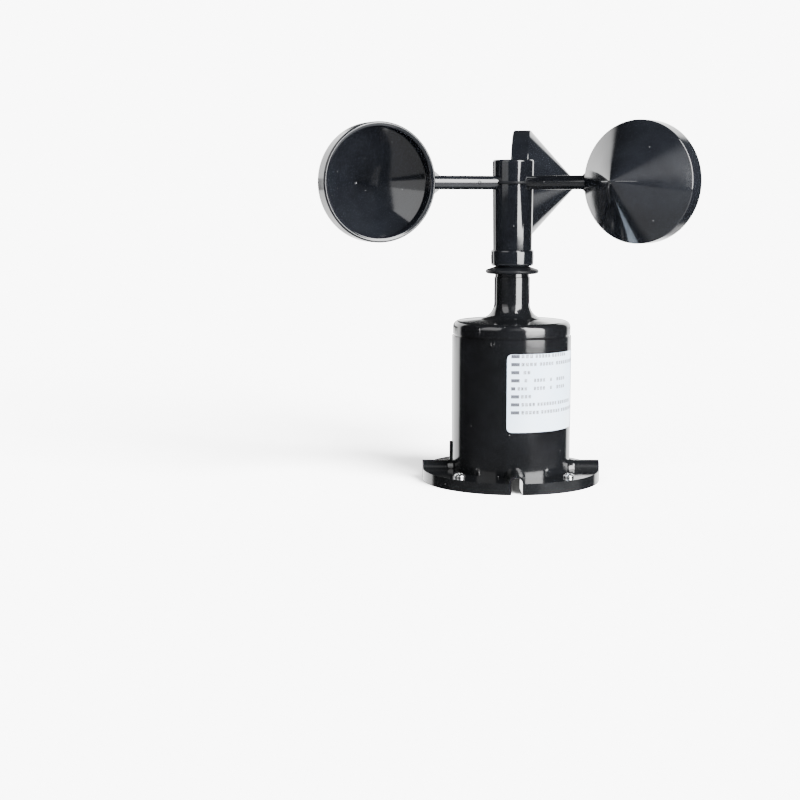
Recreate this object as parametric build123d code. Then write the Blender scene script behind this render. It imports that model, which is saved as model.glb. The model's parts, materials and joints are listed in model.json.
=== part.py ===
from build123d import *
import os
from math import sqrt

# Three-cup anemometer, in millimetres. z = 0 is the underside of the flange and +Z is the rotor's axis.

# Housing
BARREL_R = 29.9
BARREL_H = 73.6
WALL = 2.4
FLANGE_WIDTH = 15.1
FLANGE_H = 5.5
FLANGE_PLATE = 2.8
RIM_WALL = 2.2
SCREW_INSET = 7.0
SCREW_BOSS_R = 4.2
TUNNEL_R = 4.0
TUNNEL_WALL = 1.2
TUNNEL_ROOT_R = 5.4
TUNNEL_ROOT_L = 3.2
COLUMN_R = 3.4
COVER_Z = 9.0
COVER_H = 2.5
RIB_W = 1.0
RIB_DEPTH = 1.2
RIB_LOW = 9.5
RIB_HIGH = 19.3

# Sticker on the barrel: its angles round Z, its height and its place below the barrel's top
LABEL_FROM = -98.0
LABEL_SWEEP = 115.0
LABEL_H = 38.6
LABEL_DROP = 6.8
LABEL_T = 0.12
LABEL_CORNER = 2.5

# Top cap and neck
SEAM_H = 1.0
SEAM_DEPTH = 0.8
CAP_SIDE_H = 7.2
CAP_SLOPE_H = 1.8
CAP_ROOF = 2.6
CAP_ROUND = 3.0
NECK_R = 8.8
NECK_H = 29.5
NECK_FLARE = 8.0
SPIGOT_H = 7.6
SPIGOT_WALL = 2.2
BEARING_CAP_H = 2.7
BEARING_CAP_INSET = 0.4

# Shaft and ball bearings
SHAFT_R = 2.0
BEARING_R = 6.5
BEARING_W = 5.0
BALL_R = 1.15
BALL_COUNT = 7
BALL_GAP = 0.1
RACE_WALL = 0.9
RACE_H = 0.5
CAGE_WALL = 1.0
CAGE_EDGE = 0.6
CAGE_GAP = 0.06
LOWER_BEARING_DROP = 1.6
CIRCLIP_H = 1.0
CIRCLIP_DEPTH = 0.7
CIRCLIP_W = 1.7
CIRCLIP_GAP = 3.0
SHAFT_CLIP_H = 0.8
SHAFT_CLIP_DEPTH = 0.4
SHAFT_CLIP_W = 1.6
SPACER_WALL = 1.0
BEARING_BOSS_WALL = 2.5
BEARING_BOSS_LIP = 2.5

# Rotor
SKIRT_R = 12.6
SKIRT_H = 3.7
SKIRT_LIP = 1.1
SKIRT_NECK_R = 9.0
SKIRT_ROOF = 1.5
SKIRT_WALL = 0.9
HUB_R = 9.7
HUB_H = 51.3
HUB_WALL = 2.5
HUB_EDGE = 0.4
BUSH_H = 25.6
ARM_R = 3.4
ARM_BELOW_TOP = 10.8
CUP_AT = 72.8
CUP_R = 28.2
CUP_BAND = 8.2
CUP_CONE = 26.3
CUP_WALL = 1.3
CUP_COUNT = 3
FIRST_CUP = -37.5
GUSSET_L = 4.6
GUSSET_T = 1.8

# Fasteners: M3 cross-recess pan heads
SCREW_R = 1.5
HEAD_R = 2.7
HEAD_H = 2.1
HEAD_SIDE_H = 0.95
RECESS_L = 3.1
RECESS_W = 0.75
RECESS_DEPTH = 1.25
CLEARANCE = 0.15
MOUNT_SCREW_L = 12.0
BOARD_SCREW_L = 8.0
MOUNT_SCREW_ANGLE = 45.0
RECESS_ANGLE = 25.0
TIE_ANGLE = 45.0
POST_ANGLE = 105.0

# Electronics and seals
BOARD_H = 1.6
BOARD_DROP = 18.2
BOARD_GAP = 0.8
POST_R = 2.8
POST_INSET = 0.9
MAGNET_GAP = 5.5
MAGNET_R = 2.0
MAGNET_H = 2.5
MAGNET_INSET = 3.5
CARRIER_R = 11.5
CARRIER_H = 4.0
CARRIER_NECK_R = 4.0
SEAL_DEPTH = 0.9
SEAL_H = 2.0
SEAL_UP = 3.0
COVER_SEAL_H = 1.0
GROMMET_R = 5.0
GROMMET_NECK_R = 3.6
GROMMET_LIP = 1.2
GROMMET_TAIL = 4.0
CABLE_R = 2.1
FIT = 0.1

# Components on the board: size across X, across Y, height, and where each one stands
SENSOR_SIZE = (3.0, 4.0, 3.5)
CHIP_SIZE = (7.0, 7.0, 1.2)
CHIP_X = -6.0
REGULATOR_SIZE = (3.5, 6.5, 1.7)
REGULATOR_X = 7.0
CAPACITOR_R = 2.5
CAPACITOR_H = 6.5
CAPACITOR_X = 3.5
CAPACITOR_Y = 10.0
CONNECTOR_SIZE = (10.0, 5.8, 7.0)
CONNECTOR_WALL = 0.7
CONNECTOR_FLOOR = 1.5
CONNECTOR_Y = -9.0

# Places worked out from the sizes above
FLANGE_R = BARREL_R + FLANGE_WIDTH
BORE_R = BARREL_R - WALL
SCREW_AT = FLANGE_R - SCREW_INSET
COLUMN_AT = BORE_R - COLUMN_R + 0.3
SPIGOT_R = BORE_R - FIT
SPIGOT_Z = BARREL_H - SPIGOT_H
SEAL_Z = SPIGOT_Z + SEAL_UP
COVER_TOP = COVER_Z + COVER_H
COVER_SEAL_Z = COVER_Z + (COVER_H - COVER_SEAL_H) / 2
CAP_SHOULDER_Z = BARREL_H + CAP_SIDE_H
CAP_CEILING = CAP_SHOULDER_Z - CAP_ROOF
NECK_TOP = BARREL_H + NECK_H
UPPER_BEARING_Z = NECK_TOP - BEARING_W - RACE_H
LOWER_BEARING_Z = BARREL_H - LOWER_BEARING_DROP
BEARING_CAP_TOP = NECK_TOP + BEARING_CAP_H
SKIRT_TOP = BEARING_CAP_TOP + SKIRT_H
HUB_TOP = SKIRT_TOP + HUB_H
ARM_Z = HUB_TOP - ARM_BELOW_TOP
HUB_BORE_R = HUB_R - HUB_WALL
BUSH_TOP = SKIRT_TOP + BUSH_H
PITCH_R = (SHAFT_R + BEARING_R) / 2
INNER_RING_R = PITCH_R - RACE_WALL
OUTER_RING_R = PITCH_R + RACE_WALL
BOSS_R = BEARING_R + BEARING_BOSS_WALL
BOSS_Z = LOWER_BEARING_Z - BEARING_BOSS_LIP
CIRCLIP_Z = LOWER_BEARING_Z - CIRCLIP_H
CIRCLIP_R = BEARING_R + CIRCLIP_DEPTH
SHAFT_CLIP_Z = LOWER_BEARING_Z - SHAFT_CLIP_H
SHAFT_GROOVE_R = SHAFT_R - SHAFT_CLIP_DEPTH
BOARD_Z = BARREL_H - BOARD_DROP
BOARD_TOP = BOARD_Z + BOARD_H
BOARD_R = COLUMN_AT - COLUMN_R - BOARD_GAP
POST_AT = BOARD_R - POST_R - POST_INSET
CARRIER_Z = BOARD_TOP + MAGNET_GAP
CARRIER_TOP = LOWER_BEARING_Z - 2 * SHAFT_CLIP_H
MAGNET_AT = CARRIER_R - MAGNET_INSET
BAND_LOW = ARM_R - CUP_BAND
APEX = BAND_LOW - CUP_CONE
TIE_TOP = BARREL_H - 1.0


def disc(radius, low, high, x=0.0, y=0.0):
    return Pos(x, y, low) * Cylinder(radius, high - low, align=(Align.CENTER, Align.CENTER, Align.MIN))


def ring(outer, inner, low, high):
    return disc(outer, low, high) - disc(inner, low, high)


def block(size_x, size_y, low, high, x=0.0, y=0.0):
    centred = (Align.CENTER, Align.CENTER, Align.MIN)
    return Pos(x, y, low) * Box(size_x, size_y, high - low, align=centred)


# Copies of a piece at equal angles round Z, from the first angle.
def spread(piece, count, first=0.0):
    return [Rot(0, 0, first + n * 360 / count) * piece for n in range(count)]


# A solid turned about Z from an outline of (radius, z) points.
def turned(*points):
    return revolve(make_face(Polyline(*[(r, 0, z) for r, z in points], close=True)), Axis.Z)


# A screw whose head rests on z = 0 and whose shank points down. A plain stretch under the head is
# slightly tapered, and the thread below it is a cylinder.
def pan_screw(length, plain=0.0):
    dome = TangentArc((0, 0, HEAD_H), (HEAD_R, 0, HEAD_SIDE_H), tangent=(1, 0, 0))
    side = Polyline((HEAD_R, 0, HEAD_SIDE_H), (HEAD_R, 0, 0), (0, 0, 0), (0, 0, HEAD_H))
    head = revolve(make_face([dome, *side.edges()]), Axis.Z)
    slot = block(RECESS_L, RECESS_W, HEAD_H - RECESS_DEPTH, HEAD_H + 1)
    shank = disc(SCREW_R, -length, -plain)
    if plain > 0:
        shank = shank + Pos(0, 0, -plain / 2) * Cone(SCREW_R, SCREW_R + CLEARANCE / 2, plain)
    return head + shank - slot - Rot(0, 0, 90) * slot


# Half-round passage for the cable, along +X from the barrel to the flange's rim.
def tunnel_outside():
    near = BARREL_R - WALL / 2
    far = FLANGE_R
    tube = Pos(near, 0, FLANGE_H) * Rot(0, 90, 0) * Cylinder(
        TUNNEL_R, far - near, align=(Align.CENTER, Align.CENTER, Align.MIN)
    )
    walls = block(far - near, 2 * TUNNEL_R, 0, FLANGE_H, x=(near + far) / 2)
    root = Pos(BARREL_R - 0.5, 0, FLANGE_H) * Rot(0, 90, 0) * Cone(
        TUNNEL_ROOT_R, TUNNEL_R, TUNNEL_ROOT_L, align=(Align.CENTER, Align.CENTER, Align.MIN)
    )
    above = (tube + root) & block(2 * far, 2 * far, FLANGE_H - 1, BARREL_H)
    return above + walls


def tunnel_inside():
    near = BORE_R - 2
    length = FLANGE_R + 1 - near
    inner = TUNNEL_R - TUNNEL_WALL
    tube = Pos(near, 0, FLANGE_H) * Rot(0, 90, 0) * Cylinder(
        inner, length, align=(Align.CENTER, Align.CENTER, Align.MIN)
    )
    return tube + block(length, 2 * inner, -1, FLANGE_H, x=near + length / 2)


# Flange, barrel, screw bosses, tunnels and inner columns: one moulding.
def housing():
    body = disc(FLANGE_R, 0, FLANGE_H) - disc(FLANGE_R - RIM_WALL, -1, FLANGE_H - FLANGE_PLATE)
    body = body + disc(BARREL_R, 0, BARREL_H)
    bosses = spread(disc(SCREW_BOSS_R, 0, FLANGE_H, x=SCREW_AT), 4, MOUNT_SCREW_ANGLE)
    tunnels = spread(tunnel_outside() & disc(FLANGE_R, 0, BARREL_H), 4)
    rib = block(2 * RIB_DEPTH, RIB_W, RIB_LOW, RIB_HIGH, x=-BARREL_R)
    body = body + [*bosses, *tunnels, rib] - disc(BORE_R, -1, BARREL_H + 1)
    columns = spread(disc(COLUMN_R, COVER_TOP, SPIGOT_Z, x=COLUMN_AT), 3, TIE_ANGLE)
    body = body + [column & disc(BORE_R + 0.5, 0, BARREL_H) for column in columns]
    holes = spread(disc(SCREW_R + CLEARANCE, -1, BARREL_H, x=COLUMN_AT), 3, TIE_ANGLE)
    holes += spread(disc(SCREW_R + CLEARANCE, -1, FLANGE_H + 1, x=SCREW_AT), 4, MOUNT_SCREW_ANGLE)
    return body - [*holes, *spread(tunnel_inside(), 4)]


# Outline of the lid from the seam up over the rounded shoulder, along the flare and up the neck.
def cap_outside():
    shoulder = (BARREL_R - SEAM_DEPTH / 2, 0, CAP_SHOULDER_Z)
    flare = (NECK_R, 0, CAP_SHOULDER_Z + CAP_SLOPE_H)
    outline = Polyline(
        (0, 0, BARREL_H),
        (BARREL_R - SEAM_DEPTH, 0, BARREL_H),
        (BARREL_R - SEAM_DEPTH, 0, BARREL_H + SEAM_H),
        (BARREL_R - SEAM_DEPTH / 2, 0, BARREL_H + SEAM_H),
        shoulder,
        flare,
        (NECK_R, 0, NECK_TOP),
        (0, 0, NECK_TOP),
        close=True,
    )
    face = make_face(outline)
    for corner, radius in ((shoulder, CAP_ROUND), (flare, NECK_FLARE)):
        vertex = face.vertices().sort_by_distance(Vector(*corner))[0]
        face = fillet(vertex, radius)
    return revolve(face, Axis.Z)


# Lid, neck, spigot, bearing boss and board posts: one moulding.
def top_cap():
    cap = cap_outside() + disc(SPIGOT_R, SPIGOT_Z, BARREL_H)
    cap = cap - disc(SPIGOT_R - SPIGOT_WALL, SPIGOT_Z - 1, CAP_CEILING)
    bosses = spread(disc(COLUMN_R, SPIGOT_Z, CAP_CEILING, x=COLUMN_AT), 3, TIE_ANGLE)
    cap = cap + [boss & disc(SPIGOT_R, 0, CAP_CEILING) for boss in bosses]
    posts = spread(disc(POST_R, BOARD_TOP, CAP_CEILING, x=POST_AT), 3, POST_ANGLE)
    cap = cap + disc(BOSS_R, BOSS_Z, CAP_CEILING) + posts
    cap = cap - ring(SPIGOT_R + 1, SPIGOT_R - SEAL_DEPTH, SEAL_Z, SEAL_Z + SEAL_H)
    cap = cap - disc(BEARING_R, BOSS_Z - 1, LOWER_BEARING_Z + BEARING_W)
    cap = cap - disc(CIRCLIP_R, CIRCLIP_Z, LOWER_BEARING_Z)
    cap = cap - disc(BEARING_R, UPPER_BEARING_Z, NECK_TOP + 1)
    cap = cap - disc(OUTER_RING_R - 0.6, BOSS_Z, NECK_TOP)
    pilots = spread(disc(SCREW_R, SPIGOT_Z - 1, TIE_TOP + 1, x=COLUMN_AT), 3, TIE_ANGLE)
    pilots += spread(disc(SCREW_R, BOARD_Z, BOARD_Z + BOARD_SCREW_L + 1, x=POST_AT), 3, POST_ANGLE)
    return cap - pilots


def cap_seal():
    return ring(BORE_R, SPIGOT_R - SEAL_DEPTH, SEAL_Z, SEAL_Z + SEAL_H)


def bottom_cover():
    cover = disc(SPIGOT_R, COVER_Z, COVER_TOP)
    groove = ring(SPIGOT_R + 1, SPIGOT_R - SEAL_DEPTH, COVER_SEAL_Z, COVER_SEAL_Z + COVER_SEAL_H)
    holes = spread(disc(SCREW_R + CLEARANCE, COVER_Z - 1, COVER_TOP + 1, x=COLUMN_AT), 3, TIE_ANGLE)
    return cover - groove - holes - disc(GROMMET_NECK_R, COVER_Z - 1, COVER_TOP + 1)


def bottom_seal():
    return ring(BORE_R, SPIGOT_R - SEAL_DEPTH, COVER_SEAL_Z, COVER_SEAL_Z + COVER_SEAL_H)


# Rubber grommet that grips the cable where it comes up through the bottom cover.
def cable_grommet():
    lip_top = COVER_TOP + GROMMET_LIP
    body = disc(GROMMET_R, COVER_Z - GROMMET_LIP, COVER_Z) + disc(GROMMET_NECK_R, COVER_Z, COVER_TOP)
    body = body + disc(GROMMET_R, COVER_TOP, lip_top)
    tail = Cone(
        GROMMET_R - 0.6, CABLE_R + 1.1, GROMMET_TAIL, align=(Align.CENTER, Align.CENTER, Align.MIN)
    )
    body = body + Pos(0, 0, lip_top) * tail
    return body - disc(CABLE_R, COVER_Z - 2 * GROMMET_LIP, lip_top + GROMMET_TAIL + 1)


def tie_screws():
    screw = Pos(COLUMN_AT, 0, COVER_Z) * Rot(180, 0, 0) * pan_screw(TIE_TOP - COVER_Z)
    return Compound(children=spread(screw, 3, TIE_ANGLE))


def mounting_screws():
    screw = Pos(SCREW_AT, 0, FLANGE_H) * Rot(0, 0, RECESS_ANGLE) * pan_screw(MOUNT_SCREW_L, FLANGE_H)
    return Compound(children=spread(screw, 4, MOUNT_SCREW_ANGLE))


# Thin sticker round the front of the barrel, with rounded corners.
def label():
    high = BARREL_H - LABEL_DROP
    low = high - LABEL_H
    near = BARREL_R
    far = BARREL_R + LABEL_T
    section = Polyline((near, 0, low), (far, 0, low), (far, 0, high), (near, 0, high), close=True)
    skin = Rot(0, 0, LABEL_FROM) * revolve(make_face(section), Axis.Z, LABEL_SWEEP)
    corners = [edge for edge in skin.edges() if edge.length < 1.5 * LABEL_T]
    return fillet(corners, LABEL_CORNER)


def bearing_cap():
    body = ring(NECK_R - BEARING_CAP_INSET, OUTER_RING_R - 0.3, NECK_TOP, BEARING_CAP_TOP)
    return body + ring(BEARING_R, OUTER_RING_R, NECK_TOP - RACE_H, NECK_TOP)


# Groove that the balls run in, centred on a bearing that stands on z = low.
def race(low):
    path = Circle(BALL_R + BALL_GAP)
    return revolve(Pos(PITCH_R, 0, low + BEARING_W / 2) * Rot(90, 0, 0) * path, Axis.Z)


def outer_ring(low):
    return ring(BEARING_R, OUTER_RING_R, low, low + BEARING_W) - race(low)


def inner_ring(low):
    return ring(INNER_RING_R, SHAFT_R, low, low + BEARING_W) - race(low)


def balls(low):
    ball = Pos(PITCH_R, 0, low + BEARING_W / 2) * Sphere(BALL_R)
    return Compound(children=spread(ball, BALL_COUNT))


def cage(low):
    middle = low + BEARING_W / 2
    reach = BALL_R + CAGE_EDGE
    pocket = Pos(PITCH_R, 0, middle) * Rot(0, 90, 0) * Cylinder(BALL_R + CAGE_GAP, 3 * CAGE_WALL)
    hoop = ring(PITCH_R + CAGE_WALL / 2, PITCH_R - CAGE_WALL / 2, middle - reach, middle + reach)
    return hoop - spread(pocket, BALL_COUNT)


# Spring ring with a gap at one side.
def clip(outer, inner, low, high, gap):
    return ring(outer, inner, low, high) - block(outer + 1, gap, low - 1, high + 1, x=(outer + 1) / 2)


def bearing_circlip():
    return clip(CIRCLIP_R, CIRCLIP_R - CIRCLIP_W, CIRCLIP_Z, LOWER_BEARING_Z, CIRCLIP_GAP)


def shaft_clip():
    outer = SHAFT_GROOVE_R + SHAFT_CLIP_W
    return clip(outer, SHAFT_GROOVE_R, SHAFT_CLIP_Z, LOWER_BEARING_Z, 2 * SHAFT_CLIP_H)


def shaft():
    rod = disc(SHAFT_R, CARRIER_Z, BUSH_TOP - 0.5)
    return rod - ring(SHAFT_R + 1, SHAFT_GROOVE_R, SHAFT_CLIP_Z, LOWER_BEARING_Z)


def spacer_sleeve():
    return ring(SHAFT_R + SPACER_WALL, SHAFT_R, LOWER_BEARING_Z + BEARING_W, UPPER_BEARING_Z)


def magnet_carrier():
    body = disc(CARRIER_R, CARRIER_Z, CARRIER_Z + CARRIER_H) + disc(CARRIER_NECK_R, CARRIER_Z, CARRIER_TOP)
    body = body - disc(SHAFT_R, CARRIER_Z - 1, LOWER_BEARING_Z)
    return body - spread(disc(MAGNET_R, CARRIER_Z - 1, CARRIER_Z + MAGNET_H, x=MAGNET_AT), 4)


def magnets():
    return Compound(children=spread(disc(MAGNET_R, CARRIER_Z, CARRIER_Z + MAGNET_H, x=MAGNET_AT), 4))


# Rain skirt: a thin flared lip below a disc that carries the hub.
def drip_skirt():
    roof_z = BEARING_CAP_TOP + SKIRT_ROOF
    body = turned(
        (SHAFT_R, roof_z),
        (SKIRT_NECK_R - SKIRT_WALL, roof_z),
        (SKIRT_R - SKIRT_LIP, BEARING_CAP_TOP),
        (SKIRT_R, BEARING_CAP_TOP),
        (SKIRT_NECK_R, SKIRT_TOP - 0.7),
        (SKIRT_NECK_R, SKIRT_TOP),
        (SHAFT_R, SKIRT_TOP),
    )
    return body + ring(INNER_RING_R, SHAFT_R, NECK_TOP - RACE_H, roof_z)


# Arms point along +X before they are spread round the hub.
def arm_rod(inner, outer):
    return Pos(inner, 0, ARM_Z) * Rot(0, 90, 0) * Cylinder(
        ARM_R, outer - inner, align=(Align.CENTER, Align.CENTER, Align.MIN)
    )


def rotor_hub():
    body = disc(HUB_R, SKIRT_TOP, HUB_TOP)
    body = fillet(body.edges().sort_by(Axis.Z)[-1], HUB_EDGE)
    body = body - disc(HUB_BORE_R, SKIRT_TOP - 1, HUB_TOP - HUB_WALL)
    return body - spread(arm_rod(HUB_BORE_R - 2, HUB_R + 1), CUP_COUNT, FIRST_CUP)


def hub_bush():
    return ring(HUB_BORE_R, SHAFT_R, SKIRT_TOP, BUSH_TOP)


# A cup opens towards +Y from an arm along +X, and its point, which leads as it turns, is towards -Y.
def cup_solid():
    cone = CUP_CONE
    inset = CUP_WALL * sqrt(CUP_R**2 + cone**2) / CUP_R
    inner_r = CUP_R - CUP_WALL
    inner_low = APEX + inset + inner_r * cone / CUP_R
    shell = turned(
        (0, APEX),
        (CUP_R, BAND_LOW),
        (CUP_R, ARM_R),
        (inner_r, ARM_R),
        (inner_r, inner_low),
        (0, APEX + inset),
    )
    return Pos(CUP_AT, 0, ARM_Z) * Rot(-90, 0, 0) * shell


def cup_filled():
    plug = turned((0, APEX), (CUP_R, BAND_LOW), (CUP_R, ARM_R + 5), (0, ARM_R + 5))
    return Pos(CUP_AT, 0, ARM_Z) * Rot(-90, 0, 0) * plug


# Arm with two thin gussets that brace it against the cup's band.
def arm_solid():
    height = 2 * ARM_R
    band = CUP_AT - CUP_R
    end = band + 3
    web = Polyline(
        (band - GUSSET_L, 0, ARM_Z - ARM_R + 0.2),
        (band + 0.8, 0, ARM_Z - height),
        (end, 0, ARM_Z - height),
        (end, 0, ARM_Z + height),
        (band + 0.8, 0, ARM_Z + height),
        (band - GUSSET_L, 0, ARM_Z + ARM_R - 0.2),
        close=True,
    )
    gusset = extrude(make_face(web), GUSSET_T / 2, both=True)
    return arm_rod(HUB_BORE_R + 0.2, end) + gusset - cup_filled()


def circuit_board():
    holes = spread(disc(SCREW_R + CLEARANCE, BOARD_Z - 1, BOARD_TOP + 1, x=POST_AT), 3, POST_ANGLE)
    return disc(BOARD_R, BOARD_Z, BOARD_TOP) - holes


def board_screws():
    screw = Pos(POST_AT, 0, BOARD_Z) * Rot(180, 0, 0) * pan_screw(BOARD_SCREW_L)
    return Compound(children=spread(screw, 3, POST_ANGLE))


def hall_sensor():
    width, depth, height = SENSOR_SIZE
    return block(width, depth, BOARD_TOP, BOARD_TOP + height, x=MAGNET_AT)


def microcontroller():
    width, depth, height = CHIP_SIZE
    return block(width, depth, BOARD_Z - height, BOARD_Z, x=CHIP_X)


def voltage_regulator():
    width, depth, height = REGULATOR_SIZE
    return block(width, depth, BOARD_Z - height, BOARD_Z, x=REGULATOR_X)


def capacitors():
    can = disc(CAPACITOR_R, BOARD_Z - CAPACITOR_H, BOARD_Z)
    return Compound(children=[Pos(x, CAPACITOR_Y, 0) * can for x in (-CAPACITOR_X, CAPACITOR_X)])


def cable_connector():
    width, depth, height = CONNECTOR_SIZE
    gap = 2 * CONNECTOR_WALL
    shell = block(width, depth, BOARD_Z - height, BOARD_Z, y=CONNECTOR_Y)
    inside = block(
        width - gap, depth - gap, BOARD_Z - height - 1, BOARD_Z - CONNECTOR_FLOOR, y=CONNECTOR_Y
    )
    return shell - inside


def write(name, piece):
    piece.label = name
    export_step(piece, f"parts/{name}.step")


def main():
    os.makedirs("parts", exist_ok=True)
    single = (
        housing, top_cap, cap_seal, bottom_cover, bottom_seal, cable_grommet, tie_screws,
        mounting_screws, label, bearing_cap, bearing_circlip, shaft_clip, shaft, spacer_sleeve,
        magnet_carrier, magnets, drip_skirt, rotor_hub, hub_bush, circuit_board, board_screws,
        hall_sensor, microcontroller, voltage_regulator, capacitors, cable_connector,
    )
    for make in single:
        write(make.__name__, make())
    for place, low in (("upper", UPPER_BEARING_Z), ("lower", LOWER_BEARING_Z)):
        write(f"{place}_bearing_outer_ring", outer_ring(low))
        write(f"{place}_bearing_inner_ring", inner_ring(low))
        write(f"{place}_bearing_balls", balls(low))
        write(f"{place}_bearing_cage", cage(low))
    for n, piece in enumerate(spread(arm_solid(), CUP_COUNT, FIRST_CUP)):
        write(f"arm_{n + 1}", piece)
    for n, piece in enumerate(spread(cup_solid(), CUP_COUNT, FIRST_CUP)):
        write(f"cup_{n + 1}", piece)


main()
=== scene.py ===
import json
import math
import bpy
import bmesh
from mathutils import Matrix, Vector


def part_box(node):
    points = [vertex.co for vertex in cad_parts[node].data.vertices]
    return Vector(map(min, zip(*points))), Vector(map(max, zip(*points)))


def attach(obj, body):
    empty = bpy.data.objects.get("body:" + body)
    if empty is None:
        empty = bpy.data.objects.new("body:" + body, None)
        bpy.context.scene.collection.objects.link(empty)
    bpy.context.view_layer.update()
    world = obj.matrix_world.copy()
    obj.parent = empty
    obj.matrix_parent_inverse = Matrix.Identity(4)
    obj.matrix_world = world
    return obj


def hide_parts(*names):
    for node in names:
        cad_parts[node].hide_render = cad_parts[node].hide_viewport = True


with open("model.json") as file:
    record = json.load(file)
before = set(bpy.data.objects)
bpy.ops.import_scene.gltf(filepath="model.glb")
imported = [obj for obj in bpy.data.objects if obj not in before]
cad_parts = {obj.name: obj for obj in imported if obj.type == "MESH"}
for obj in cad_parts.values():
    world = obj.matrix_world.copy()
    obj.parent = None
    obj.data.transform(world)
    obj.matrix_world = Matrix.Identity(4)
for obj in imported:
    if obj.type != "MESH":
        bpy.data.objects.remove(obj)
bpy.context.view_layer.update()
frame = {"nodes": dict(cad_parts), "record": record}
print("frame loaded")

mm = 0.001  # sizes below are in millimetres, and angles in degrees, unless a note says otherwise


class Value:
    # a number that varies over a surface: arithmetic on it adds Math nodes
    def __init__(self, finish, socket):
        self.finish = finish
        self.socket = socket

    def maths(self, operation, first, second):
        node = self.finish.add("ShaderNodeMath", {"operation": operation}, {0: first, 1: second})
        return Value(self.finish, node.outputs[0])

    def __add__(self, other):
        return self.maths("ADD", self, other)

    def __radd__(self, other):
        return self.maths("ADD", other, self)

    def __sub__(self, other):
        return self.maths("SUBTRACT", self, other)

    def __rsub__(self, other):
        return self.maths("SUBTRACT", other, self)

    def __mul__(self, other):
        return self.maths("MULTIPLY", self, other)

    def __rmul__(self, other):
        return self.maths("MULTIPLY", other, self)

    def __gt__(self, other):
        return self.maths("GREATER_THAN", self, other)

    def __lt__(self, other):
        return self.maths("LESS_THAN", self, other)


class Finish:
    # one material: a Principled shader and the nodes that feed it
    def __init__(self, name):
        self.material = bpy.data.materials.new(name)
        self.material.use_nodes = True
        self.tree = self.material.node_tree
        self.shader = self.tree.nodes["Principled BSDF"]

    def add(self, kind, settings, inputs):
        node = self.tree.nodes.new(kind)
        for name, setting in settings.items():
            if name == "stops":
                while len(node.color_ramp.elements) < len(setting):
                    node.color_ramp.elements.new(1.0)
                for element, (place, colour) in zip(node.color_ramp.elements, setting):
                    element.position = place
                    element.color = (*colour, 1.0)
            else:
                setattr(node, name, setting)
        for name, value in inputs.items():
            self.feed(node.inputs[name], value)
        return node

    def feed(self, socket, value):
        if isinstance(value, Value):
            self.tree.links.new(value.socket, socket)
        elif isinstance(value, bpy.types.NodeSocket):
            self.tree.links.new(value, socket)
        else:
            socket.default_value = value

    def set(self, **inputs):
        for name, value in inputs.items():
            self.feed(self.shader.inputs[name.replace("_", " ")], value)

    def place(self):
        return self.add("ShaderNodeTexCoord", {}, {}).outputs["Object"]

    def noise(self, scale, detail=2.0, rough=0.5, stretch=(1, 1, 1)):
        mapped = self.add("ShaderNodeMapping", {}, {"Vector": self.place(), "Scale": stretch})
        inputs = {"Vector": mapped.outputs[0], "Scale": scale, "Detail": detail, "Roughness": rough}
        return Value(self, self.add("ShaderNodeTexNoise", {}, inputs).outputs["Fac"])

    def specks(self, scale, size):
        # 1 on scattered dots, 0 elsewhere
        cells = self.add("ShaderNodeTexVoronoi", {}, {"Vector": self.place(), "Scale": scale})
        chance = self.add("ShaderNodeSeparateColor", {}, {0: cells.outputs["Color"]})
        near = Value(self, cells.outputs["Distance"]) < size
        return near * (Value(self, chance.outputs[0]) > 0.93)

    def ramp(self, value, stops):
        return self.add("ShaderNodeValToRGB", {"stops": stops}, {0: value}).outputs["Color"]

    def mix(self, mask, first, second):
        settings = {"data_type": "RGBA"}
        inputs = {"Factor": mask, 6: first, 7: second}
        return self.add("ShaderNodeMix", settings, inputs).outputs[2]

    def bump(self, height, strength, distance):
        inputs = {"Height": height, "Strength": strength, "Distance": distance}
        return self.add("ShaderNodeBump", {}, inputs).outputs[0]


plastic = {
    "housing": {
        "dark": (0.003, 0.0032, 0.0036), "pale": (0.0055, 0.006, 0.007),
        "gloss": 0.07, "dust": 0.3, "shine": 0.5,
    },
    "rotor": {
        "dark": (0.0036, 0.004, 0.0052), "pale": (0.0065, 0.0075, 0.0095),
        "gloss": 0.05, "dust": 0.3, "shine": 0.5,
    },
    "collar": {
        "dark": (0.0036, 0.004, 0.0048), "pale": (0.0065, 0.007, 0.0085),
        "gloss": 0.36, "dust": 0.2, "shine": 0.15,
    },
}


def glossyPlastic(name, look):
    # polished black moulding: faint flow waves, hazy patches, hairline scuffs and a few dust specks
    finish = Finish(name)
    flow = finish.noise(24.0, 2.0, 0.5)
    haze = finish.noise(60.0, 4.0, 0.6)
    scuffs = finish.noise(900.0, 3.0, 0.6, (1.0, 1.0, 0.05))
    dust = finish.specks(380.0, 0.075)
    colour = finish.ramp(haze, [(0.3, look["dark"]), (0.75, look["pale"])])
    dusty = finish.mix(dust * look["dust"], colour, (0.5, 0.5, 0.5, 1.0))
    finish.set(Base_Color=dusty, IOR=1.5, Specular_IOR_Level=look["shine"])
    finish.set(Roughness=look["gloss"] + haze * 0.06 + scuffs * 0.03 + dust * 0.4)
    height = flow * 0.8 + haze * 0.12 + scuffs * 0.01
    finish.set(Normal=finish.bump(height, 0.3, 0.0012))
    return finish.material


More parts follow.
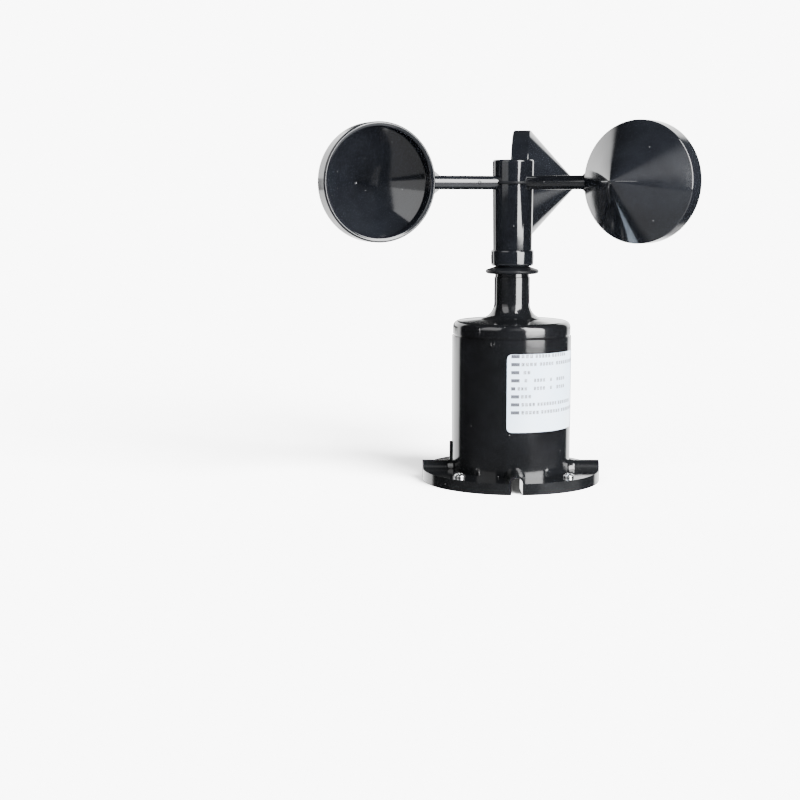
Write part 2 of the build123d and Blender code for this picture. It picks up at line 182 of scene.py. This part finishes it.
metals = {
    # name: dark tone, pale tone, roughness, grain size, grain stretch
    "brightZinc": ((0.62, 0.63, 0.65), (0.88, 0.88, 0.87), 0.14, 2600.0, (1, 1, 1)),
    "groundSteel": ((0.46, 0.46, 0.47), (0.66, 0.66, 0.68), 0.16, 1500.0, (1, 1, 0.08)),
    "springSteel": ((0.10, 0.10, 0.11), (0.24, 0.24, 0.27), 0.28, 1200.0, (1, 1, 1)),
    "turnedBrass": ((0.62, 0.43, 0.17), (0.80, 0.62, 0.30), 0.20, 1400.0, (0.1, 0.1, 1)),
    "nickelPlate": ((0.52, 0.51, 0.48), (0.74, 0.72, 0.69), 0.12, 900.0, (1, 1, 1)),
    "canAluminium": ((0.58, 0.58, 0.60), (0.80, 0.80, 0.82), 0.24, 1800.0, (1, 1, 0.06)),
}


def metal(name):
    dark, pale, gloss, grainSize, stretch = metals[name]
    finish = Finish(name)
    grain = finish.noise(grainSize, 3.0, 0.6, stretch)
    patches = finish.noise(420.0, 2.0, 0.5)
    finish.set(Base_Color=finish.ramp(patches, [(0.3, dark), (0.7, pale)]), Metallic=1.0)
    finish.set(Roughness=gloss + grain * 0.14)
    finish.set(Normal=finish.bump(grain, 0.2, 0.0002))
    return finish.material


solids = {
    # name: dark tone, pale tone, roughness, grain size, bump
    "softRubber": ((0.012, 0.012, 0.013), (0.026, 0.026, 0.027), 0.62, 700.0, 0.3),
    "naturalNylon": ((0.58, 0.55, 0.47), (0.70, 0.67, 0.59), 0.36, 500.0, 0.12),
    "boardGreen": ((0.006, 0.075, 0.028), (0.012, 0.13, 0.05), 0.22, 260.0, 0.25),
    "chipEpoxy": ((0.012, 0.012, 0.013), (0.03, 0.03, 0.032), 0.5, 2400.0, 0.35),
}


def solid(name):
    dark, pale, gloss, grainSize, strength = solids[name]
    finish = Finish(name)
    grain = finish.noise(grainSize, 4.0, 0.65)
    patches = finish.noise(70.0, 2.0, 0.5)
    finish.set(Base_Color=finish.ramp(patches, [(0.3, dark), (0.7, pale)]))
    finish.set(Roughness=gloss + grain * 0.15)
    finish.set(Normal=finish.bump(grain, strength, 0.0002))
    return finish.material


def stickerVinyl():
    finish = Finish("stickerVinyl")
    fibre = finish.noise(900.0, 4.0, 0.6)
    tone = finish.noise(30.0, 2.0, 0.5)
    colour = finish.ramp(tone, [(0.3, (0.54, 0.68, 0.85)), (0.7, (0.72, 0.79, 0.87))])
    finish.set(Base_Color=colour, Roughness=0.38 + fibre * 0.15)
    finish.set(Normal=finish.bump(fibre, 0.15, 0.0001))
    return finish.material


def printedInk(name, dark, pale):
    finish = Finish(name)
    wear = finish.noise(2600.0, 3.0, 0.7)
    colour = finish.ramp(wear, [(0.42, dark), (0.62, pale)])
    finish.set(Base_Color=colour, Roughness=0.4 + wear * 0.2)
    return finish.material


housingPlastic = glossyPlastic("housingPlastic", plastic["housing"])
rotorPlastic = glossyPlastic("rotorPlastic", plastic["rotor"])
collarPlastic = glossyPlastic("collarPlastic", plastic["collar"])
labelWhite = stickerVinyl()
boldInk = printedInk("boldInk", (0.012, 0.013, 0.018), (0.10, 0.11, 0.14))
paleInk = printedInk("paleInk", (0.04, 0.045, 0.06), (0.42, 0.46, 0.52))
print("finishes made")

# record slot: its finish
slotFinish = {
    "housing_plastic": housingPlastic,
    "rotor_plastic": rotorPlastic,
    "label_vinyl": labelWhite,
    "zinc": metal("brightZinc"),
    "bearing_steel": metal("groundSteel"),
    "spring_steel": metal("springSteel"),
    "brass": metal("turnedBrass"),
    "magnet": metal("nickelPlate"),
    "can": metal("canAluminium"),
    "rubber": solid("softRubber"),
    "nylon": solid("naturalNylon"),
    "board": solid("boardGreen"),
    "chip": solid("chipEpoxy"),
}

# CAD node: how far its edges are rounded, in millimetres
edgeRounding = {
    "housing": 0.35, "top_cap": 0.3, "bearing_cap": 0.2, "bottom_cover": 0.25, "cable_grommet": 0.25,
    "mounting_screws": 0.12, "hub_bush": 0.2, "magnet_carrier": 0.25, "microcontroller": 0.15,
    "hall_sensor": 0.2, "voltage_regulator": 0.15, "capacitors": 0.3, "cable_connector": 0.2,
    "circuit_board": 0.1, "spacer_sleeve": 0.1, "shaft": 0.15, "magnets": 0.15,
}


softening = {
    "weld": 0.002,
    "flat": 0.6,  # faces closer in angle than this become one
    "crisp": 35,  # edges sharper than this are rounded
    "segments": 3,
    "evenness": 90,
}


def softenEdges(node, width):
    # one skin, flat faces whole, then every crisp edge rounded
    piece = frame["nodes"][node]
    join = piece.modifiers.new("join", "WELD")
    join.merge_threshold = softening["weld"] * mm
    flatten = piece.modifiers.new("flatten", "DECIMATE")
    flatten.decimate_type = "DISSOLVE"
    flatten.angle_limit = math.radians(softening["flat"])
    rounding = piece.modifiers.new("rounding", "BEVEL")
    rounding.width = width * mm
    rounding.segments = softening["segments"]
    rounding.limit_method = "ANGLE"
    rounding.angle_limit = math.radians(softening["crisp"])
    even = piece.modifiers.new("evenNormals", "WEIGHTED_NORMAL")
    even.weight = softening["evenness"]


for part in frame["record"]["subparts"]:
    mesh = frame["nodes"][part["node"]].data
    mesh.materials.clear()
    mesh.materials.append(slotFinish[part["material_slot"]])
for node, width in edgeRounding.items():
    softenEdges(node, width)
print("CAD nodes finished")


def softened(outline, bend=5):
    # outline corners are (radius, along, rounding); each rounding becomes an arc
    points = []
    for n, (radius, along, rounding) in enumerate(outline):
        here = Vector((radius, along))
        if not rounding:
            points.append(here)
            continue
        back = (Vector(outline[n - 1][:2]) - here).normalized()
        onward = (Vector(outline[(n + 1) % len(outline)][:2]) - here).normalized()
        half = back.angle(onward) / 2
        reach = rounding / math.tan(half)
        centre = here + (back + onward).normalized() * (rounding / math.sin(half))
        first = here + back * reach - centre
        last = here + onward * reach - centre
        points += [centre + first.slerp(last, k / bend) for k in range(bend + 1)]
    return points


def turned(outline, sides=192):
    # solid of revolution about Z: points and faces; an outline that starts on the axis is open
    points = []
    rows = []
    for radius, along in outline:
        if radius < 1e-6:
            rows.append([len(points)] * sides)
            points.append(Vector((0, 0, along)))
            continue
        rows.append(list(range(len(points), len(points) + sides)))
        for k in range(sides):
            angle = 2 * math.pi * k / sides
            points.append(Vector((radius * math.cos(angle), radius * math.sin(angle), along)))
    faces = []
    closing = 0 if rows[0][0] == rows[0][1] else 1
    for n in range(len(rows) - 1 + closing):
        here = rows[n]
        there = rows[(n + 1) % len(rows)]
        for k in range(sides):
            beside = (k + 1) % sides
            corners = list(dict.fromkeys((here[k], here[beside], there[beside], there[k])))
            if len(corners) > 2:
                faces.append(corners)
    return points, faces


def bead(path, radius, up, sides=10):
    # thin raised line along a path, tapered to nothing at both ends
    points = []
    last = len(path) - 1
    for n, middle in enumerate(path):
        along = (path[min(n + 1, last)] - path[max(n - 1, 0)]).normalized()
        across = along.cross(up).normalized()
        lift = across.cross(along)
        size = radius * (0.35 if n in (0, last) else 1.0)
        for k in range(sides):
            angle = 2 * math.pi * k / sides
            points.append(middle + (across * math.cos(angle) + lift * math.sin(angle)) * size)
    faces = []
    for n in range(last):
        for k in range(sides):
            beside = (k + 1) % sides
            low = n * sides
            faces.append([low + k, low + beside, low + sides + beside, low + sides + k])
    faces.append(list(range(sides)))
    faces.append([last * sides + k for k in range(sides)])
    return points, faces


def joined(*shapes):
    points = []
    faces = []
    for morePoints, moreFaces in shapes:
        start = len(points)
        points += morePoints
        faces += [[start + corner for corner in face] for face in moreFaces]
    return points, faces


def moved(shape, matrix):
    points, faces = shape
    return [matrix @ point for point in points], faces


def addPiece(name, shape, material, body, slot, *nodes):
    # shape in millimetres, in the frame's own place
    points, faces = shape
    mesh = bpy.data.meshes.new(name)
    mesh.from_pydata([point * mm for point in points], [], faces)
    tidy = bmesh.new()
    tidy.from_mesh(mesh)
    bmesh.ops.recalc_face_normals(tidy, faces=tidy.faces)
    for face in tidy.faces:
        face.smooth = True
    tidy.to_mesh(mesh)
    tidy.free()
    mesh.materials.append(material)
    piece = bpy.data.objects.new(name, mesh)
    bpy.context.collection.objects.link(piece)
    even = piece.modifiers.new("evenNormals", "WEIGHTED_NORMAL")
    even.weight = 70
    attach(piece, body)
    if nodes:
        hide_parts(*nodes)
    return piece


armLow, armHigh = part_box("arm_1")
armHeight = (armLow.z + armHigh.z) / 2 / mm
hubLow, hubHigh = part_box("rotor_hub")
hub = {
    "radius": hubHigh.x / mm,
    "foot": hubLow.z / mm,
    "top": hubHigh.z / mm,
    "wall": 2.5,
    "stepUp": 6.3,  # the lower band stands out a hair
    "step": 0.06,
    "partingLine": 0.26,
    "lineRoot": 0.3,  # how deep the parting line's ring is rooted
    "edge": 0.45,
}


def rotorHub():
    radius = hub["radius"]
    band = radius + hub["step"]
    step = hub["foot"] + hub["stepUp"]
    bore = radius - hub["wall"]
    lower = softened([
        (bore, hub["foot"], 0),
        (band, hub["foot"], 0.3),
        (band, step, 0.08),
        (bore, step, 0),
    ])
    upper = softened([
        (0, hub["top"] - hub["wall"], 0),
        (bore, hub["top"] - hub["wall"], 0),
        (bore, step, 0),
        (radius, step, 0),
        (radius, hub["top"], hub["edge"]),
        (0, hub["top"], 0),
    ])
    line = hub["partingLine"]
    root = hub["lineRoot"]
    seam = softened([
        (radius - root, armHeight - line - root, 0),
        (radius + line, armHeight, 0.06),
        (radius - root, armHeight + line + root, 0),
    ])
    shell = joined(turned(lower), turned(upper))
    addPiece("hubShell", shell, rotorPlastic, "rotor", "rotor_plastic", "rotor_hub")
    addPiece("hubMouldLine", turned(seam), collarPlastic, "rotor", "rotor_plastic")


cup = {
    "reach": 72.8,  # from the rotor's axis to the cup's own axis
    "radius": 28.2,
    "band": 8.2,
    "cone": 26.3,
    "wall": 1.3,
    "rim": 3.4,
    "bandEdge": 0.3,
    "partingLine": 0.24,
    "flashAt": (50, 86),  # trimmed flash on the band, degrees round the cup
}
rotorTurn = {"cups": 3, "first": -37.5}


def cupShape():
    # the cup opens along +Z from its own axis, with the arm along -X
    radius = cup["radius"]
    low = cup["rim"] - cup["band"]
    tip = low - cup["cone"]
    slope = cup["cone"] / radius
    inner = radius - cup["wall"]
    sink = cup["wall"] * math.hypot(1, slope)
    outline = [
        (0, tip + 0.42, 0),
        (0.45, tip + 0.52, 0),
        (0.9, tip + 0.9 * slope, 0),
        (radius, low, cup["bandEdge"]),
        (radius, cup["rim"], 0.3),
        (inner, cup["rim"], 0.6),
        (inner, tip + sink + inner * slope, 0.9),
        (0.7, tip + sink + 0.7 * slope, 0),
        (0.4, tip + sink + 0.52, 0),
        (0, tip + sink + 0.42, 0),
    ]
    shell = turned(softened(outline), 256)
    seams = []
    for side in (1, -1):
        path = [
            Vector((side * 1.0, 0, tip + slope)),
            Vector((side * 2.0, 0, tip + 2 * slope)),
            Vector((side * (radius - 0.2), 0, low - 0.2 * slope)),
            Vector((side * radius, 0, low + 0.4)),
            Vector((side * radius, 0, cup["rim"] - 0.5)),
            Vector((side * radius, 0, cup["rim"] - 0.2)),
        ]
        seams.append(bead(path, cup["partingLine"], Vector((0, 1, 0))))
    for angle in cup["flashAt"]:
        path = []
        for step in (-3, -2, 0, 1.5, 2.5):
            turn = math.radians(angle + step)
            path.append(Vector((radius * math.cos(turn), radius * math.sin(turn), low + 1.2)))
        seams.append(bead(path, 0.5, Vector((0, 0, 1))))
    return joined(shell, *seams)


arm = {
    "radius": 3.4,
    "partingLine": 0.16,
    "gussetLength": 4.6,
    "gussetWidth": 1.8,
    "pipAt": 20.0,
    "pip": 0.9,
}


def armShape():
    # rod along +X with its mould line at both sides, two pips and two gussets at the cup
    radius = arm["radius"]
    start = hub["radius"] - 1.5
    end = cup["reach"] - cup["radius"] + 0.6
    sides = 180
    halfway = sides // 2
    rod = []
    stations = (start, start + 0.4, end - 0.4, end)
    for x in stations:
        for k in range(sides):
            away = min(k % halfway, halfway - k % halfway)  # steps from the nearer mould line
            rise = {0: 1.0, 1: 0.5}.get(away, 0)
            angle = 2 * math.pi * k / sides
            out = radius + rise * arm["partingLine"]
            rod.append(Vector((x, out * math.cos(angle), out * math.sin(angle))))
    last = (len(stations) - 1) * sides
    faces = [list(range(sides)), list(range(last, last + sides))]
    for low in range(0, last, sides):
        for k in range(sides):
            beside = (k + 1) % sides
            faces.append([low + k, low + beside, low + sides + beside, low + sides + k])
    pieces = [(rod, faces)]
    pip = arm["pip"]
    dome = turned([Vector(p) for p in (
        (0, 0.32), (pip * 0.4, 0.29), (pip * 0.75, 0.18), (pip, 0), (pip * 1.1, -0.4), (0, -0.4)
    )], 48)
    for side in (1, -1):
        out = Matrix.Translation((arm["pipAt"], side * radius, 0))
        pieces.append(moved(dome, out @ Matrix.Rotation(-side * math.pi / 2, 4, "X")))
        pieces.append(gusset(side))
    return joined(*pieces)


def gusset(side):
    # thin web from the arm up or down to the band, with softened edges
    radius = arm["radius"]
    band = cup["reach"] - cup["radius"]
    half = arm["gussetWidth"] / 2
    web = [
        (band - arm["gussetLength"], radius - 0.3),
        (band - 0.1, 2 * radius - 0.25),
        (band + 0.3, 2 * radius - 0.05),
        (band + 0.9, 2 * radius - 0.05),
        (band + 0.9, radius - 1.0),
        (band - arm["gussetLength"], radius - 1.0),
    ]
    points = []
    for y, inset in ((-half, 0.18), (-half + 0.18, 0), (half - 0.18, 0), (half, 0.18)):
        points += [Vector((x, y, side * (z - (inset if z > radius - 0.5 else 0)))) for x, z in web]
    count = len(web)
    faces = [list(range(count)), list(range(3 * count, 4 * count))]
    for row in range(3):
        for k in range(count):
            beside = (k + 1) % count
            near = row * count
            far = near + count
            faces.append([near + k, near + beside, far + beside, far + k])
    return points, faces


def rotorArms():
    cupShell = cupShape()
    armShell = armShape()
    for n in range(rotorTurn["cups"]):
        turn = Matrix.Rotation(math.radians(rotorTurn["first"] + n * 360 / rotorTurn["cups"]), 4, "Z")
        armPlace = turn @ Matrix.Translation((0, 0, armHeight))
        out = Matrix.Translation((cup["reach"], 0, 0))
        cupPlace = armPlace @ (out @ Matrix.Rotation(math.radians(-90), 4, "X"))
        addPiece(f"armRod_{n + 1}", moved(armShell, armPlace), rotorPlastic,
                 "rotor", "rotor_plastic", f"arm_{n + 1}")
        addPiece(f"cupShell_{n + 1}", moved(cupShell, cupPlace), rotorPlastic,
                 "rotor", "rotor_plastic", f"cup_{n + 1}")


skirtLow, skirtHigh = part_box("drip_skirt")
skirt = {
    "radius": skirtHigh.x / mm,
    "top": skirtHigh.z / mm,
    "height": 3.7,
    "neck": 9.0,
    "lip": 1.1,
    "bore": 2.0,
    "sleeve": 3.35,
}


def dripSkirt():
    low = skirt["top"] - skirt["height"]
    outline = softened([
        (skirt["bore"], low + 1.5, 0),
        (skirt["neck"] - 0.9, low + 1.5, 0),
        (skirt["radius"] - skirt["lip"], low, 0.1),
        (skirt["radius"], low, 0.14),
        (skirt["neck"], skirt["top"] - 0.7, 0.25),
        (skirt["neck"], skirt["top"], 0.1),
        (skirt["bore"], skirt["top"], 0),
    ])
    foot = skirtLow.z / mm
    corners = (
        (skirt["sleeve"], foot),
        (skirt["sleeve"], low + 1.6),
        (skirt["bore"], low + 1.6),
        (skirt["bore"], foot),
    )
    sleeve = [Vector(corner) for corner in corners]
    shape = joined(turned(outline), turned(sleeve, 96))
    addPiece("dripCollar", shape, collarPlastic, "rotor", "rotor_plastic", "drip_skirt")


barrel = {"radius": 29.9}
marks = {
    "capRadius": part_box("top_cap")[1].x / mm,
    "tick": {"azimuth": -126.4, "low": 75.35, "high": 79.3, "thick": 0.3},
    "cradle": {"azimuth": -112.2, "low": 70.3, "high": 73.0, "width": 1.5, "thick": 0.16},
}


def onRound(radius, azimuth, height):
    turn = math.radians(azimuth)
    return Vector((radius * math.cos(turn), radius * math.sin(turn), height))


def mouldMarks():
    # a short upright tick on the lid and a small U under the seam
    tick = marks["tick"]
    out = onRound(1.0, tick["azimuth"], 0)
    rise = tick["high"] - tick["low"]
    path = [onRound(marks["capRadius"], tick["azimuth"], tick["low"] + k * rise / 6) for k in range(7)]
    lines = [bead(path, tick["thick"], out)]
    cradle = marks["cradle"]
    half = cradle["width"] / 2
    path = []
    for k in range(-4, 5):
        bend = math.radians(k * 22.5)
        side = half * math.sin(bend)
        height = cradle["low"] + half * (1 - math.cos(bend))
        turn = cradle["azimuth"] + math.degrees(side / barrel["radius"])
        path.append(onRound(barrel["radius"], turn, height))
    reach = math.degrees(half / barrel["radius"])
    left = onRound(barrel["radius"], cradle["azimuth"] - reach, cradle["high"])
    right = onRound(barrel["radius"], cradle["azimuth"] + reach, cradle["high"])
    lines.append(bead([left, *path, right], cradle["thick"], onRound(1.0, cradle["azimuth"], 0)))
    addPiece("mouldMarks", joined(*lines), housingPlastic, "base", "housing_plastic")


printing = {
    "from": -94.2,
    "firstRow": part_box("label")[1].z / mm - 1.0,
    "pitch": 3.96,
    "letterHeight": 1.7,
    "labelThick": 0.12,
    "above": 0.02,
    "letterPitch": 3.6,
    "letterShare": 0.72,  # how much of its pitch a letter fills
    # each row: the end of its bold word, then where each pale word starts and ends
    "rows": (
        (-86.2, (-84.6, -72.5), (-71.0, -54.0), (-52.5, -30.5)),
        (-86.2, (-84.6, -68.5), (-66.5, -50.0), (-47.0, -6.0)),
        (-86.5, (-82.6, -75.0)),
        (-86.2, (-81.6, -78.0), (-72.4, -59.7), (-54.6, -51.5), (-46.2, -32.2)),
        (-90.2, (-88.1, -78.3), (-72.4, -59.7), (-54.6, -51.5), (-46.2, -32.2)),
        (-86.4, (-84.9, -74.1)),
        (-86.2, (-84.2, -70.0), (-68.6, -45.0), (-43.8, -19.0)),
        (-86.2, (-84.2, -66.0), (-64.5, -40.0), (-38.5, -5.0)),
    ),
}


def word(start, end, height):
    # printed bar that follows the barrel
    radius = barrel["radius"] + printing["labelThick"] + printing["above"]
    steps = max(2, round(abs(end - start) / 1.5))
    half = printing["letterHeight"] / 2
    points = []
    for k in range(steps + 1):
        azimuth = start + (end - start) * k / steps
        points.append(onRound(radius, azimuth, height - half))
        points.append(onRound(radius, azimuth, height + half))
    return points, [[2 * k, 2 * k + 2, 2 * k + 3, 2 * k + 1] for k in range(steps)]


def labelPrint():
    bold = []
    pale = []
    for n, (boldEnd, *words) in enumerate(printing["rows"]):
        height = printing["firstRow"] - n * printing["pitch"]
        bold.append(word(printing["from"], boldEnd, height))
        for start, end in words:
            letters = max(round((end - start) / printing["letterPitch"]), 1)
            width = (end - start) / letters
            for k in range(letters):
                left = start + k * width
                pale.append(word(left, left + width * printing["letterShare"], height))
    addPiece("labelBoldPrint", joined(*bold), boldInk, "base", "label_vinyl")
    addPiece("labelPalePrint", joined(*pale), paleInk, "base", "label_vinyl")


rotorHub()
rotorArms()
dripSkirt()
mouldMarks()
labelPrint()
print("pieces made")


stage = {"floor": 6.0}  # metres


def floorSheet():
    finish = Finish("studioFloor")
    grain = finish.noise(90.0, 3.0, 0.5)
    colour = finish.ramp(grain, [(0.3, (0.80, 0.80, 0.80)), (0.7, (0.84, 0.84, 0.84))])
    finish.set(Base_Color=colour, Roughness=0.7 + grain * 0.1)
    mesh = bpy.data.meshes.new("studioFloor")
    half = stage["floor"] / 2
    corners = [(-half, -half, 0), (half, -half, 0), (half, half, 0), (-half, half, 0)]
    mesh.from_pydata(corners, [], [(0, 1, 2, 3)])
    mesh.materials.append(finish.material)
    sheet = bpy.data.objects.new("studioFloor", mesh)
    sheet.is_shadow_catcher = True
    sheet.visible_glossy = False
    bpy.context.collection.objects.link(sheet)


# each lamp stands round the object at an azimuth from the front, right positive; its sizes are in metres
lamps = {
    "rightKey": {"azimuth": 43, "low": -0.02, "high": 2.0, "away": 1.1, "width": 0.74, "watts": 160.0},
    "leftFill": {"azimuth": -52, "low": 0.08, "high": 0.4, "away": 1.2, "width": 0.9, "watts": 1.6},
    "leftHigh": {"azimuth": -48, "low": 0.4, "high": 2.0, "away": 1.2, "width": 0.9, "watts": 18.0},
}


def softbox(name, lamp):
    light = bpy.data.lights.new(name, "AREA")
    light.shape = "RECTANGLE"
    light.size = lamp["width"]
    light.size_y = lamp["high"] - lamp["low"]
    light.energy = lamp["watts"]
    box = bpy.data.objects.new(name, light)
    turn = math.radians(lamp["azimuth"])
    height = (lamp["high"] + lamp["low"]) / 2
    box.location = (lamp["away"] * math.sin(turn), -lamp["away"] * math.cos(turn), height)
    box.rotation_euler = (math.radians(90), 0, turn)
    bpy.context.collection.objects.link(box)


studio = {
    "seen": 9.0,  # what the lens sees behind the object
    "room": 0.05,
    "cove": 4.0,
    "table": 0.75,
    "litTable": 1.6,
    "glow": 1.2,
}


# where each zone of the surround ends, as a share of the view direction, and how soft that edge is
zones = {
    "coveFront": (0.66, 0.06),
    "coveTop": (0.08, 0.04),
    "coveFoot": (-0.25, 0.05),
    "horizonLow": (-0.083, 0.008),
    "horizonHigh": (0.05, 0.015),
    "horizonEnds": (0.68, 0.04),
    "rightSide": (0.05, 0.05),
    "rightLow": (-0.055, 0.008),
    "tableTop": (-0.2, 0.03),
    "tableBack": (0.0, 0.1),
    "litTop": (-0.2, 0.05),
    "litSide": (0.06, 0.06),
    "litBack": (0.15, 0.1),
    "glow": (0.94, 0.06),
}


class Backdrop(Finish):
    # the world's shader, worked with the same arithmetic as a finish
    def __init__(self, world):
        world.use_nodes = True
        self.tree = world.node_tree
        self.shader = self.tree.nodes["Background"]

    def above(self, value, zone):
        level, edge = zones[zone]
        inputs = {"Value": value, "From Min": level - edge, "From Max": level + edge}
        node = self.add("ShaderNodeMapRange", {"interpolation_type": "SMOOTHSTEP"}, inputs)
        return Value(self, node.outputs[0])


def surround():
    # bright cove behind, dark room in front, pale table below; the lens itself sees plain white
    world = bpy.data.worlds.new("studio")
    bpy.context.scene.world = world
    sky = Backdrop(world)
    place = sky.add("ShaderNodeTexCoord", {}, {})
    axes = sky.add("ShaderNodeSeparateXYZ", {}, {0: place.outputs["Generated"]})
    x, y, z = (Value(sky, axes.outputs[k]) for k in range(3))
    aside = sky.add("ShaderNodeMath", {"operation": "ABSOLUTE"}, {0: x})
    aside = Value(sky, aside.outputs[0])
    cove = sky.above(y - 0.105 * x, "coveFront")
    cove = cove * (1 - sky.above(z - 1.2 * aside, "coveTop")) * sky.above(z + 0.4 * aside, "coveFoot")
    # the cove is dim along the horizon, so that the hub and the neck keep dark edges
    horizon = sky.above(z, "horizonLow") * (1 - sky.above(z, "horizonHigh"))
    horizon = horizon * (1 - sky.above(aside, "horizonEnds"))
    horizon = horizon * (1 - sky.above(x, "rightSide") * sky.above(z, "rightLow"))
    cove = cove * (1 - horizon)
    table = (1 - sky.above(z, "tableTop")) * (1 - sky.above(y, "tableBack"))
    litTable = (1 - sky.above(z, "litTop")) * sky.above(x + 0.6 * y, "litSide")
    litTable = litTable * (1 - sky.above(y, "litBack"))
    glow = sky.above(0.28 * x - 0.85 * y + 0.44 * z, "glow")
    level = (studio["room"] + studio["cove"] * cove + studio["table"] * table
             + studio["litTable"] * litTable + studio["glow"] * glow)
    seen = sky.add("ShaderNodeLightPath", {}, {})
    white = (studio["seen"], studio["seen"], studio["seen"], 1.0)
    sky.set(Color=sky.mix(seen.outputs["Is Camera Ray"], level, white))


view = {"lens": 68.36, "sensor": 36.0, "place": (-0.0565, -0.7671, 0.1432), "tilt": 82.37}


def takeCamera():
    lens = bpy.data.cameras.new("camera")
    lens.lens = view["lens"]
    lens.sensor_width = view["sensor"]
    camera = bpy.data.objects.new("camera", lens)
    camera.location = view["place"]
    camera.rotation_euler = (math.radians(view["tilt"]), 0, 0)
    bpy.context.collection.objects.link(camera)
    bpy.context.scene.camera = camera


floorSheet()
for name, lamp in lamps.items():
    softbox(name, lamp)
surround()
takeCamera()
print("studio set")
